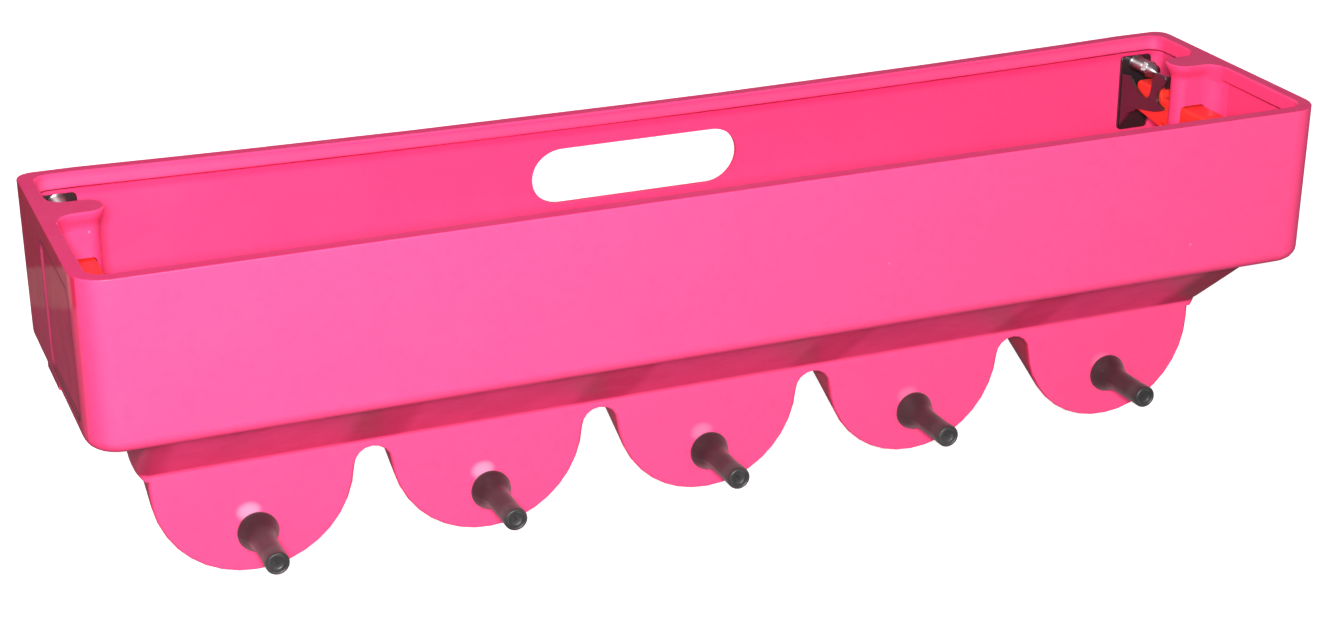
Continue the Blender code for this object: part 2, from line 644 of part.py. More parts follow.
def ear_outline():
    """(y, z) outline of one cheek: solid at the plate, a round bay, then an upright leg."""
    plate = BRACKET_FRONT + BRACKET / 2
    leg_front, leg_back = -EAR_FRONT, -EAR_FRONT + EAR_LEG
    top, toe, heel = RIM - BRACKET_TOP, RIM - EAR_TOE, RIM - EAR_HEEL
    centre = (leg_back + 0.002, RIM - EAR_BAY_CENTRE)
    bay_end = -math.degrees(math.asin((centre[1] - top) / EAR_BAY_RADIUS))
    points = [(plate, top)] + arc(centre, EAR_BAY_RADIUS, bay_end, -84, 9)
    points += [(leg_back, top - EAR_LEG), (leg_back - 0.001, top), (leg_front, top)]
    notch_top, notch_foot = top - 0.004, toe + 0.006
    for k in range(1, 6):
        part = k / 6
        dent = EAR_NOTCH * math.sin(math.pi * part)
        points.append((leg_front + dent, notch_top + (notch_foot - notch_top) * part))
    points += arc((leg_front + 0.003, toe + 0.003), 0.003, 180, 270, 3)
    slant = [(leg_back, toe - 0.0035), (-EAR_HEEL_BACK, heel), (-EAR_HEEL_BACK + 0.006, heel - 0.004)]
    points += slant + [(plate, RIM - BRACKET_FOOT + 0.003)]
    return points


def build_bracket(side, label, material):
    """Guide bracket: back plate, two braced ears and a header over the latch."""
    x = side * LATCH_X
    near, far = BRACKET_FRONT, BRACKET_FRONT + BRACKET
    plate = rounded_box(x - STRAP_WIDTH / 2, x + STRAP_WIDTH / 2, RIM - BRACKET_FOOT,
                        RIM - BRACKET_TOP, 0.003, 3)
    bracket = extrude_y(f"guide_bracket_{label}", plate, near, far)
    inner = GRIP_WIDTH / 2 + SIDE_PLAY
    for hand in (-1, 1):
        ends = sorted((x + hand * inner, x + hand * (inner + BRACKET)))
        join(bracket, extrude_x("ear", ear_outline(), *ends))
    top, low = RIM - BRACKET_TOP, RIM - BRACKET_TOP - HEADER_HEIGHT
    half = inner + BRACKET / 2
    header_outline = [(x - half, low), (x + half, low), (x + half, top - GAP), (x - half, top - GAP)]
    header = -EAR_FRONT + EAR_NOTCH
    join(bracket, extrude_y("header", header_outline, header, header + BRACKET))
    cut(bracket, blade_window("plate_window", side, near - WALL, far + WALL, SIDE_PLAY))
    hole = rod_y("plate_hole", STUD_RADIUS + HOLE_PLAY, x, RIM - STUD_BELOW_RIM,
                 near - WALL, far + WALL, 20)
    cut(bracket, hole)
    bracket.data.materials.clear()
    bracket.data.materials.append(material)


def build_washer(side, label, material):
    back, front = WASHER_FRONT + WASHER, WASHER_FRONT
    bore = STUD_RADIUS + HOLE_PLAY
    edge = WASHER / 4
    profile = [(bore, back), (WASHER_RADIUS, back), (WASHER_RADIUS, front + edge),
               (WASHER_RADIUS - edge, front), (bore, front)]
    washer = turn_about_y(f"washer_{label}", profile, side * LATCH_X, RIM - STUD_BELOW_RIM)
    washer.data.materials.append(material)


def build_sleeve(side, label, material):
    """Round spacer between the washer and the dome nut."""
    back, front = SLEEVE_FRONT + SLEEVE_LENGTH, SLEEVE_FRONT
    bore = STUD_RADIUS + HOLE_PLAY
    edge = 0.0008
    profile = [(bore, back), (SLEEVE_RADIUS - edge, back), (SLEEVE_RADIUS, back - edge),
               (SLEEVE_RADIUS, front + edge), (SLEEVE_RADIUS - edge, front), (bore, front)]
    sleeve = turn_about_y(f"spacer_sleeve_{label}", profile, side * LATCH_X, RIM - STUD_BELOW_RIM)
    sleeve.data.materials.append(material)


def build_dome_nut(side, label, material):
    """Hexagon with a domed cap and a blind bore for the stud."""
    x, z, back = side * LATCH_X, RIM - STUD_BELOW_RIM, NUT_SEAT
    corner = NUT_ACROSS_FLATS / math.sqrt(3)
    dome = NUT_ACROSS_FLATS / 2 * 0.94
    angles = [2 * math.pi * k / 24 for k in range(24)]

    def ring(y, radius, hexagon):
        points = []
        for angle in angles:
            flat = (angle + math.pi / 6) % (math.pi / 3) - math.pi / 6
            reach = min(corner, NUT_ACROSS_FLATS / 2 / math.cos(flat)) if hexagon else radius
            reach = min(reach, radius)
            points.append((x + reach * math.sin(angle), y, z + reach * math.cos(angle)))
        return points

    rings = [ring(back, corner * 0.93, True), ring(back - 0.0008, corner, True)]
    rings.append(ring(back - NUT_HEX + 0.0008, corner, True))
    rings.append(ring(back - NUT_HEX, corner * 0.93, True))
    for k in range(6):
        angle = math.radians(84 * k / 5)
        y = back - NUT_HEX - NUT_DOME * (DOME_SKIRT + (1 - DOME_SKIRT) * math.sin(angle))
        radius = dome * math.cos(angle)
        if k == 0:
            rings.append(ring(back - NUT_HEX - 0.0002, dome, False))
        rings.append(ring(y, radius, False))
    nut = loft(f"dome_nut_{label}", rings)
    cut(nut, rod_y("nut_bore", STUD_RADIUS + HOLE_PLAY, x, z, NUT_BORE_END, back + WALL, 20))
    nut.data.materials.clear()
    nut.data.materials.append(material)


def grip_ring(x, inset):
    """(y, z) side outline of the plastic grip, shrunk by an inset on its arrises."""
    front = COLUMN_NEAR - HANDLE_REACH
    round_end = (HANDLE_FOOT - HANDLE_TOP) / 2
    middle = RIM - (HANDLE_FOOT + HANDLE_TOP) / 2
    tail = -GRIP_BACK
    outline = arc((front + round_end, middle), round_end - inset, 270, 90, 10)
    outline += [
        (SHOULDER, RIM - HANDLE_TOP - inset),
        (SHOULDER + inset + HANDLE_CHAMFER / 2, RIM - GRIP_TOP - HANDLE_CHAMFER),
        (SHOULDER + HANDLE_CHAMFER * 1.5, RIM - GRIP_TOP - inset),
        (tail - HANDLE_CHAMFER, RIM - GRIP_TOP - inset),
        (tail - inset, RIM - GRIP_TOP - HANDLE_CHAMFER),
        (tail - inset, RIM - GRIP_TAIL_FOOT + HANDLE_CHAMFER),
        (tail - HANDLE_CHAMFER, RIM - GRIP_TAIL_FOOT + inset),
        (SHOULDER + HANDLE_CHAMFER, RIM - GRIP_FOOT + inset),
        (SHOULDER + inset, RIM - GRIP_FOOT + inset),
        (SHOULDER + inset, RIM - HANDLE_FOOT + inset),
    ]
    return [(x, y, z) for y, z in outline]


def build_grip(side, label, material):
    """Plastic pull of the latch, with a socket for the blade in its tail."""
    centre = side * LATCH_X
    half = GRIP_WIDTH / 2
    edge = HANDLE_CHAMFER / 2
    rings = [grip_ring(centre - half, edge), grip_ring(centre - half + edge, 0.0),
             grip_ring(centre + half - edge, 0.0), grip_ring(centre + half, edge)]
    grip = loft(f"latch_grip_{label}", rings)
    socket_front = -GRIP_BACK - BLADE_SOCKET
    cut(grip, blade_window("socket", side, socket_front, WALL, GAP))
    grip.data.materials.clear()
    grip.data.materials.append(material)


def build_blade(side, label, material):
    """Flat steel tongue that closes the hook under the rail."""
    front = -GRIP_BACK - BLADE_SOCKET + GAP
    top, low = RIM - BLADE_TOP, RIM - BLADE_TOP - BLADE_HEIGHT
    nose = 0.009
    outline = [(front, low), (BLADE_REACH - nose, low), (BLADE_REACH, low + nose),
               (BLADE_REACH, top - 0.002), (BLADE_REACH - 0.002, top), (front, top)]
    x = side * LATCH_X
    blade = extrude_x(f"latch_blade_{label}", outline, x - BLADE / 2, x + BLADE / 2)
    blade.data.materials.append(material)


def smooth_round_faces():
    """Round surfaces are shaded smooth and real edges stay sharp."""
    for thing in bpy.context.collection.objects:
        thing.data.shade_smooth()
        thing.data.set_sharp_from_angle(angle=math.radians(32))


def main():
    clear_scene()
    pink = make_material("pink_polyethylene", PINK, 0.38)
    rubber = make_material("black_rubber", RUBBER, 0.55)
    steel = make_material("black_steel", BLACK_STEEL, 0.30, 0.4)
    chrome = make_material("bright_chrome", CHROME, 0.12, 1.0)
    orange = make_material("orange_red_plastic", ORANGE_RED, 0.35)
    build_trough(pink)
    for index in range(POCKET_COUNT):
        build_teat(index, rubber)
    for side, label in ((-1, "left"), (1, "right")):
        build_hook(side, label, steel)
        build_bracket(side, label, steel)
        build_washer(side, label, chrome)
        build_sleeve(side, label, chrome)
        build_dome_nut(side, label, chrome)
        build_grip(side, label, orange)
        build_blade(side, label, steel)
    smooth_round_faces()


main()
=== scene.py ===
"""Looks of the multi-teat milk feeder: finishes, fine pieces, studio light and camera.

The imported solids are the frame. The trough, hooks, latch grips and blades keep their solids
and get softened edges and a finish. The teats, guide brackets, washers, spacers and dome nuts
are modelled again here in finer detail, in the place of their solids.
Metres throughout, in the same frame as the solids: -Y is the front and +Z is up.
"""
import math

import bmesh
import bpy
from mathutils import Matrix, Vector


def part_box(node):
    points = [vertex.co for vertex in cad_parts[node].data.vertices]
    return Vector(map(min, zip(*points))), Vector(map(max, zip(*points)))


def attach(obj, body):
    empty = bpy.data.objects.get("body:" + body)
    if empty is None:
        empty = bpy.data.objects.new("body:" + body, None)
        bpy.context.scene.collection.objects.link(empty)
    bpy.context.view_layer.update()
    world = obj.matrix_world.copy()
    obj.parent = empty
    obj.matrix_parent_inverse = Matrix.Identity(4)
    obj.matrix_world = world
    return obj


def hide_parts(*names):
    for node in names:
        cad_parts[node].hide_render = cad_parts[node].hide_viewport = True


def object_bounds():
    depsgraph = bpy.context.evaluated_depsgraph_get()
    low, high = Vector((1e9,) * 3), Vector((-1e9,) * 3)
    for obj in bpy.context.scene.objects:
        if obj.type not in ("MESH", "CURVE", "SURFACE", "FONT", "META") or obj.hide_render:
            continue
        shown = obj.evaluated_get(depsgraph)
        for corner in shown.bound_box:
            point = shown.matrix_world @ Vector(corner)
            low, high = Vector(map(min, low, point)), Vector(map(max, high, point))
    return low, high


# The photograph's camera
IMAGE_WIDTH = 1339             # pixels
FOCAL_LENGTH = 2566.4          # pixels
SENSOR = 36.0                  # millimetres
CAMERA_PLACE = Vector((-0.7382, -1.8568, 0.7447))
CAMERA_YAW = math.radians(22.458)
CAMERA_PITCH = math.radians(22.413)

# Light: one soft flash over the camera, a weak fill that is weaker still from below, and a
# fill for the back
FLASH_PLACE = (-0.77, -1.93, 0.86)
FLASH_AIM = (0.0, -0.12, 0.0)
FLASH_SIZE = 0.28
FLASH_POWER = 84.0
FILL = 0.33
FILL_BELOW = 0.19
REAR_PLACE = (1.30, 4.10, 1.10)
REAR_AIM = (0.0, 0.0, 0.0)
REAR_SIZE = 1.6
REAR_POWER = 100.0

# Floor, and the wall that it rises into
FLOOR_DROP = 0.004             # under the lowest pocket
FLOOR_GLOW = 0.60              # it glows a little, as a light table does
FLOOR_INNER = 0.4              # radius of the flat disc in its middle
FLOOR_RADIUS = 4.4
FLOOR_SIDES = 64
WALL_CURVE = 1.5
WALL_CURVE_STEPS = 8
WALL_TOP = 9.0

# Sizes of the solids that the finishes and the fine pieces follow
RIM = 0.108
POCKET_PITCH = 0.184
POCKET_FACE = -0.152
PANEL_NEAR = -0.212            # shallow panel in each end wall, in y
PANEL_REAR = -0.100
PANEL_LOW = -0.006             # and in z
PANEL_HIGH = 0.092
PANEL_CORNER = 0.010
TEAT_AXIS = -0.1435
TEAT_BASE = 0.0160
STUD_BORE = 0.0044
STUD_HEIGHT = 0.0835
NUT_HEX = 0.0070               # length of the nut's hexagon
SHEET = 0.0025                 # thickness of the guide bracket
CHEEK_INSIDE = 0.0116          # half the clear width between a bracket's cheeks
HEADER_FRONT = -0.0735
HEADER_LOW = 0.0285            # below the rim
HEADER_HIGH = 0.0176
BLADE_HALF = 0.0036            # slot for the latch blade
BLADE_LOW = 0.0464
BLADE_HIGH = 0.0636

# Where the moulding's tints and its painted light and shade set in, from none to all
FRONT_FACES = (-0.135, -0.150)    # y
SLOPE = (-0.230, -0.222)          # y
REAR_WALL = (-0.040, -0.030)      # y
RIM_TOP = (0.100, 0.106)          # z
HOPPER = (-0.020, -0.030)         # z
RIGHT_END = (0.400, 0.425)        # x
END_WALLS = (0.4960, 0.4970)      # distance from the middle
PANEL_STEPS = (0.4955, 0.4962)    # the same
LIP_MIDDLE = 0.1010               # height of the rear lip's sheen
LIP_FOOT = 0.0905                 # and of the shade below it
REFLECTION_BAND = (0.038, 0.033)       # level of an end wall's middle band of painted reflection
LOW_BAND = (0.007, 0.001)         # and of its lowest one
BAND_RISE = 0.37                  # the bands rise by this share towards the front
BAND_BLUR = 0.006
PATCH_LEFT = 0.0055               # pale patch over each teat, from the teat's axis
PATCH_UP = 0.0170
PATCH_HALF_WIDTH = 0.0095
PATCH_HALF_HEIGHT = 0.0078

# Colours of the moulding, with its painted light and shade
PINK = (0.86, 0.048, 0.176, 1.0)
# Painted light on the faces that look to the front
PAINTED_FRONT_LIGHT = (0.86, 0.062, 0.196, 1.0)
CLOUDED = (0.88, 0.060, 0.20, 1.0)
MOTTLED = (0.66, 0.020, 0.095, 1.0)
# Painted shade on the rim tops, which face up
PAINTED_RIM_SHADE = (0.60, 0.018, 0.122, 1.0)
# Painted shade on the slope over the arches and at its right end
PAINTED_ARCH_SHADE = (0.64, 0.020, 0.096, 1.0)
PAINTED_SLOPE_END_SHADE = (0.30, 0.006, 0.030, 1.0)
# Painted shade on the hopper's sideways ends, darker on the right
PAINTED_HOPPER_SHADE_LEFT = (0.68, 0.048, 0.138, 1.0)
PAINTED_HOPPER_SHADE_RIGHT = (0.38, 0.010, 0.046, 1.0)
LIP_SHEEN = (0.88, 0.105, 0.265, 1.0)
LIP_SHADE = (0.80, 0.022, 0.125, 1.0)
# Painted shade on the end walls, and painted reflection in their middle and lowest bands
PAINTED_END_SHADE = (0.56, 0.014, 0.068, 1.0)
PAINTED_END_REFLECTION = (0.66, 0.118, 0.160, 1.0)
PAINTED_LOW_END_REFLECTION = (0.60, 0.046, 0.120, 1.0)
GRIME = (0.30, 0.040, 0.075, 1.0)
# Painted shade on the steps round the end walls' panels, darkest at their foot
PAINTED_STEP_SHADE = (0.29, 0.023, 0.070, 1.0)
PAINTED_STEP_SHADE_IN_BAND = (0.40, 0.032, 0.100, 1.0)
PAINTED_STEP_FOOT_SHADE = (0.19, 0.024, 0.050, 1.0)
PALE_PATCH = (0.72, 0.27, 0.42, 1.0)
SPECK = (0.85, 0.30, 0.46, 1.0)
SCRATCHED = (0.88, 0.13, 0.30, 1.0)

# Outline of a teat: over the bell (change of the base's radius, distance out from the wall),
# over the shaft (radius, the same distance), and at the tip and in the outlet (radius,
# distance in from the end)
CONTACT = 0.0003               # the teat stands this far out from the pocket's face
BELL = ((-0.0011, 0.0), (-0.0002, 0.0007), (0.0, 0.0018), (-0.0002, 0.0033), (-0.0010, 0.0052),
        (-0.0024, 0.0084), (-0.0040, 0.0118), (-0.0055, 0.0155))
SHAFT = ((0.0096, 0.0195), (0.0091, 0.0240), (0.0089, 0.0330), (0.0088, 0.0420),
         (0.0089, 0.0480), (0.0091, 0.0520), (0.0092, 0.0560))
TIP = ((0.0092, 0.0030), (0.0090, 0.0013), (0.0084, 0.0003), (0.0076, 0.0), (0.0067, 0.0005),
       (0.0060, 0.0017), (0.0053, 0.0028), (0.0034, 0.0034), (0.0016, 0.0035))
OUTLET = ((0.0012, 0.0042), (0.0012, 0.0090), (0.0040, 0.0140))
MILK_WAY = 0.0040              # radius of the way through the shaft
GROOVE = 0.0105                # radius in the groove that holds the wall
FLANGE = 0.0030                # thickness of the flange inside the wall
FLANGE_BACK = ((0.0046, 0.0), (0.0132, 0.0), (0.0139, 0.0007))    # radius, distance from its back
FLANGE_FRONT = ((0.0139, 0.0006), (0.0132, 0.0))                  # radius, distance from its front
SEAM = 0.00022                 # height of the mould seam
SEAM_SINE = 0.995              # the seam lies where the sine of the angle passes this
SEAM_FROM = 0.003              # and runs from this distance out
SEAM_TO = 0.004                # to this distance from the end
LIFT = 0.0020                  # the shaft's end lies this much higher than its base
LIFT_START = 0.0062            # and rises from this distance out

# Outline of a bracket's cheek: (y, distance below the rim) round the bay, and up the leg's front
BAY = ((-0.0192, 0.0313), (-0.0225, 0.0332), (-0.0260, 0.0362), (-0.0320, 0.0400),
       (-0.0379, 0.0427), (-0.0440, 0.0441), (-0.0490, 0.0430), (-0.0525, 0.0386),
       (-0.0545, 0.0310), (-0.0556, 0.0242), (-0.0577, 0.0193), (-0.0626, 0.0174),
       (-0.0690, 0.0171))
LEG = ((-0.0755, 0.0178), (-0.0762, 0.0195), (-0.0750, 0.0240), (-0.0700, 0.0285),
       (-0.0660, 0.0320), (-0.0643, 0.0365), (-0.0645, 0.0410), (-0.0672, 0.0436),
       (-0.0728, 0.0449), (-0.0745, 0.0461), (-0.0728, 0.0478), (-0.0660, 0.0505),
       (-0.0574, 0.0530), (-0.0460, 0.0552), (-0.0370, 0.0568), (-0.0300, 0.0598),
       (-0.0263, 0.0624), (-0.0204, 0.0650))
CHEEK_TOP = 0.0329             # where the cheek meets the back plate, below the rim
CHEEK_BOTTOM = 0.0822
CHEEK_OVERLAP = 0.0002         # the cheeks run this far into the plate
HEADER_OVERLAP = 0.0001        # and the header into the cheeks
PLATE_CORNER = 0.0035          # radius of the back plate's corners
PLATE_CORNER_STEPS = 4
PLATE_DROP = 0.0010            # the plate ends this far under the solid's top
BORE_STEPS = 48
CUT_REACH = 0.02               # the cutting shapes pass the plate by this much on both sides

# End of a spacer: (change of its radius, distance in from the end)
SPACER_END = ((-0.0010, 0.0), (-0.0003, 0.0003), (0.0, 0.0011), (0.0, 0.0030))
SPACER_WAIST = 0.0002

WASHER_EDGE = 0.0003
NUT_CHAMFER = 0.0009
CAP_SHARE = 0.93               # radius of the nut's cap, as a share of half its flats
CAP_STRAIGHT = 0.30            # straight part of the cap, as a share of its length
CAP_STEPS = 12
CAP_LAST = 89                  # degrees round the cap where its last ring lies
BLIND_END = 0.0012             # the nut's bore ends in a point this far from its front
BLIND_CONE = 0.0060            # and narrows from here

# Rounded edges and the fineness of curves
TROUGH_EDGE = 0.0006
STEEL_EDGE = 0.0004
GRIP_EDGE = 0.0008
EDGE_STEPS = 2
SAME_PLACE = 1e-5              # points of a solid closer than this are one
FLAT_ANGLE = 0.6               # faces of a solid that turn less than this are one
SOLID_ANGLE = 34.0             # edges of a solid sharper than this are rounded
BRACKET_ANGLE = 40.0           # and those of the brackets
SMOOTH_ANGLE = 35.0            # edges of fine pieces sharper than this stay sharp
CURVE_STEPS = 3                # points on a soft curve for each given one
ROUND_STEPS = 72               # sides of a turned piece
NUT_STEPS = 96

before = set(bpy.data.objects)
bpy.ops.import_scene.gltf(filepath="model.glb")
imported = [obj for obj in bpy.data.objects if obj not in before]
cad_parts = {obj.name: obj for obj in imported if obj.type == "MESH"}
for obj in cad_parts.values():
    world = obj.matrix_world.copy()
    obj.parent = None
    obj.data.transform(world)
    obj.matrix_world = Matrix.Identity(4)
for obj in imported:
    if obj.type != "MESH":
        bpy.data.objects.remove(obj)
cad_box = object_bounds()


def wire(tree, kind, inputs=None, **settings):
    """Add a shader node, set its values and link the inputs that are sockets."""
    made = tree.nodes.new(kind)
    for name, value in settings.items():
        setattr(made, name, value)
    for name, value in (inputs or {}).items():
        if isinstance(value, bpy.types.NodeSocket):
            tree.links.new(value, made.inputs[name])
        else:
            made.inputs[name].default_value = value
    return made


def rgb(red, green, blue):
    """An opaque colour."""
    return (red, green, blue, 1.0)


def maths(tree, operation, first, second=0.0):
    """One step of arithmetic on shader values."""
    return wire(tree, "ShaderNodeMath", {0: first, 1: second}, operation=operation).outputs[0]


def product(tree, *values):
    """Values multiplied together."""
    result = values[0]
    for value in values[1:]:
        result = maths(tree, "MULTIPLY", result, value)
    return result


def squares(tree, first, second):
    """Sum of two squares."""
    return maths(tree, "ADD", product(tree, first, first), product(tree, second, second))


def apart(tree, value, middle):
    """Distance of a value from a middle."""
    return maths(tree, "ABSOLUTE", maths(tree, "SUBTRACT", value, middle))


def near_each(tree, value, first, pitch):
    """Distance from the nearest of a row of places one pitch apart, with its sign."""
    made = wire(tree, "ShaderNodeMath",
                {0: maths(tree, "SUBTRACT", value, first), 1: pitch / 2, 2: -pitch / 2},
                operation="WRAP")
    return made.outputs[0]


def axes(tree, vector):
    """X, Y and Z of a vector."""
    return wire(tree, "ShaderNodeSeparateXYZ", {0: vector}).outputs


def ramp(tree, value, low, high, to_low=0.0, to_high=1.0):
    """Value moved from one range to another, with soft ends."""
    made = wire(tree, "ShaderNodeMapRange",
                {"Value": value, "From Min": low, "From Max": high,
                 "To Min": to_low, "To Max": to_high},
                interpolation_type="SMOOTHSTEP")
    return made.outputs["Result"]


def blend_colour(tree, share, first, second):
    """First colour turned into the second by a share of it."""
    return wire(tree, "ShaderNodeMix", {0: share, 6: first, 7: second},
                data_type="RGBA").outputs[2]


def tint(tree, colour, share, strength, other):
    """Colour turned into another by a share, at a strength."""
    return blend_colour(tree, maths(tree, "MULTIPLY", share, strength), colour, other)


def noise(tree, place, scale, detail=3.0, roughness=0.5, distortion=0.0):
    """Soft random values between 0 and 1."""
    made = wire(tree, "ShaderNodeTexNoise",
                {"Vector": place, "Scale": scale, "Detail": detail,
                 "Roughness": roughness, "Distortion": distortion})
    return made.outputs["Fac"]


def dots(tree, place, scale, edge, chosen):
    """Scattered soft dots: their edge in cell widths, and the share of cells that have none."""
    cells = wire(tree, "ShaderNodeTexVoronoi", {"Vector": place, "Scale": scale})
    return product(tree, ramp(tree, cells.outputs["Distance"], *edge),
                   ramp(tree, axes(tree, cells.outputs["Color"])["X"], *chosen))


def streaks(tree, place, stretch, scale, low, high):
    """Sparse thin marks along one direction, turned a little."""
    turned = wire(tree, "ShaderNodeMapping", {"Vector": place, "Scale": stretch,
                                              "Rotation": (0.0, math.radians(9), 0.0)})
    return ramp(tree, noise(tree, turned.outputs[0], scale, 3.0, 0.6, 0.4), low, high)


def new_material(name):
    """A material with its tree, its main shader and the object-space place."""
    material = bpy.data.materials.new(name)
    material.use_nodes = True
    tree = material.node_tree
    place = tree.nodes.new("ShaderNodeTexCoord").outputs["Object"]
    return material, tree, tree.nodes["Principled BSDF"], place


def give(tree, shader, colour, rough):
    """Link a colour and a roughness to the main shader."""
    tree.links.new(colour, shader.inputs["Base Color"])
    tree.links.new(rough, shader.inputs["Roughness"])


def bump(tree, shader, height, strength, distance):
    """Relief of a height on the shader's normal; the distance is in metres."""
    made = wire(tree, "ShaderNodeBump",
                {"Height": height, "Strength": strength, "Distance": distance})
    tree.links.new(made.outputs["Normal"], shader.inputs["Normal"])


def let_light_in(shader, weight, reach):
    """Light that spreads below the surface, with its reach in metres for each colour."""
    shader.inputs["Subsurface Weight"].default_value = weight
    shader.inputs["Subsurface Radius"].default_value = reach
    shader.inputs["Subsurface Scale"].default_value = 1.0


def pale_patches(tree, at):
    """Pale patch over the upper left of each teat's base, strongest at the left."""
    across = maths(tree, "ADD", near_each(tree, at["X"], 0.0, POCKET_PITCH), PATCH_LEFT)
    up = maths(tree, "SUBTRACT", at["Z"], TEAT_AXIS + PATCH_UP)
    reach = squares(tree, maths(tree, "DIVIDE", across, PATCH_HALF_WIDTH),
                    maths(tree, "DIVIDE", up, PATCH_HALF_HEIGHT))
    patch = ramp(tree, reach, 1.45, 0.0)
    on_face = ramp(tree, at["Y"], POCKET_FACE + 0.004, POCKET_FACE + 0.001)
    strength = ramp(tree, at["X"], -0.22, 0.08, 0.85, 0.30)
    return product(tree, patch, on_face, strength)


def panel_step(tree, at):
    """Where the panel in each end wall steps down: a thin band round a soft rectangle."""
    beyond = []
    for value, low, high in ((at["Y"], PANEL_NEAR, PANEL_REAR), (at["Z"], PANEL_LOW, PANEL_HIGH)):
        straight = (high - low) / 2 - PANEL_CORNER
        past = maths(tree, "SUBTRACT", apart(tree, value, (low + high) / 2), straight)
        beyond.append(maths(tree, "MAXIMUM", past, 0.0))
    reach = maths(tree, "SQRT", squares(tree, *beyond))
    return ramp(tree, apart(tree, reach, PANEL_CORNER), 0.0026, 0.0018)


def plain_pink(tree, place, at, ahead, cloud):
    """The moulding's pink, painted lighter as painted light on the faces towards the front, with
    clouds and a fine mottle.
    """
    # Painted light: faces that look to the front get a lighter pink
    front = product(tree, ramp(tree, ahead, 0.70, 0.98), ramp(tree, at["Y"], *FRONT_FACES))
    colour = blend_colour(tree, front, PINK, PAINTED_FRONT_LIGHT)
    clouds = ramp(tree, cloud, 0.35, 0.75, 0.0, 0.22)
    mottle = ramp(tree, noise(tree, place, 160.0, 2.0), 0.45, 0.8, 0.0, 0.12)
    return blend_colour(tree, mottle, blend_colour(tree, clouds, colour, CLOUDED), MOTTLED)


def shaded_pink(tree, colour, at, facing, sideways):
    """Painted shade: rim tops darker and redder, patches on the slope over the arches, and on the
    hopper's ends.
    """
    # Painted shade: the upward rim tops are painted darker and redder
    rims = product(tree, ramp(tree, facing["Z"], 0.80, 0.98), ramp(tree, at["Z"], *RIM_TOP))
    colour = tint(tree, colour, rims, 0.9, PAINTED_RIM_SHADE)
    # Painted shade: patches on the down-facing slope over the arches and at its right end
    from_arch = maths(tree, "ABSOLUTE", near_each(tree, at["X"], POCKET_PITCH / 2, POCKET_PITCH))
    right_end = ramp(tree, at["X"], *RIGHT_END)
    patches = maths(tree, "MAXIMUM", ramp(tree, from_arch, 0.030, 0.016), right_end)
    below = maths(tree, "MULTIPLY", facing["Z"], -1.0)
    shade = product(tree, patches, ramp(tree, below, 0.35, 0.75), ramp(tree, at["Y"], *SLOPE))
    colour = tint(tree, colour, shade, 0.8, blend_colour(tree, right_end, PAINTED_ARCH_SHADE, PAINTED_SLOPE_END_SHADE))
    # Painted shade on the hopper's sideways-facing ends, darker towards the right
    ends = product(tree, ramp(tree, sideways, 0.35, 0.85), ramp(tree, at["Z"], *HOPPER))
    to_right = ramp(tree, at["X"], -0.1, 0.3)
    return tint(tree, colour, ends, 0.85, blend_colour(tree, to_right, PAINTED_HOPPER_SHADE_LEFT, PAINTED_HOPPER_SHADE_RIGHT))


def rear_lip(tree, colour, at, ahead):
    """Soft sheen on the rolled lip of the rear wall, and a soft shade below it."""
    inside = product(tree, ramp(tree, ahead, 0.5, 0.8), ramp(tree, at["Y"], *REAR_WALL))
    sheen = ramp(tree, apart(tree, at["Z"], LIP_MIDDLE), 0.0060, 0.0010)
    colour = tint(tree, colour, product(tree, sheen, inside), 0.40, LIP_SHEEN)
    shade = ramp(tree, apart(tree, at["Z"], LIP_FOOT), 0.0065, 0.0010)
    return tint(tree, colour, product(tree, shade, inside), 0.60, LIP_SHADE)


def shaded_ends(tree, colour, place, at, sideways):
    """End walls painted darker as painted shade in three slanting bands, the middle and lowest
    lighter as painted reflection, with darker painted shade on the steps round their panels.
    """
    outmost = maths(tree, "ABSOLUTE", at["X"])
    ends = product(tree, ramp(tree, sideways, 0.45, 0.80), ramp(tree, outmost, *END_WALLS))
    band_wobble = noise(tree, place, 16.0, 5.0, 0.6)
    level = maths(tree, "ADD", at["Z"], maths(tree, "MULTIPLY", at["Y"], BAND_RISE))
    level = maths(tree, "ADD", level, maths(tree, "MULTIPLY", band_wobble, BAND_BLUR))
    # Painted reflection: lighter slanting bands over the painted shade of the end walls
    reflected_band = product(tree, ramp(tree, level, *REFLECTION_BAND), ramp(tree, sideways, 0.93, 0.99))
    end_shade = blend_colour(tree, reflected_band, PAINTED_END_SHADE, PAINTED_END_REFLECTION)
    end_shade = blend_colour(tree, ramp(tree, level, *LOW_BAND), end_shade, PAINTED_LOW_END_REFLECTION)
    grime = ramp(tree, noise(tree, place, 34.0, 5.0, 0.6), 0.40, 0.80, 0.0, 0.35)
    colour = blend_colour(tree, ends, colour, blend_colour(tree, grime, end_shade, GRIME))
    # Painted shade: the panel's step is painted darker, darkest at its foot
    step = product(tree, panel_step(tree, at), ramp(tree, outmost, *PANEL_STEPS))
    foot = ramp(tree, at["Z"], PANEL_LOW + 0.005, PANEL_LOW + 0.001)
    step_colour = blend_colour(tree, reflected_band, PAINTED_STEP_SHADE, PAINTED_STEP_SHADE_IN_BAND)
    step_colour = blend_colour(tree, foot, step_colour, PAINTED_STEP_FOOT_SHADE)
    return blend_colour(tree, step, colour, step_colour), ends


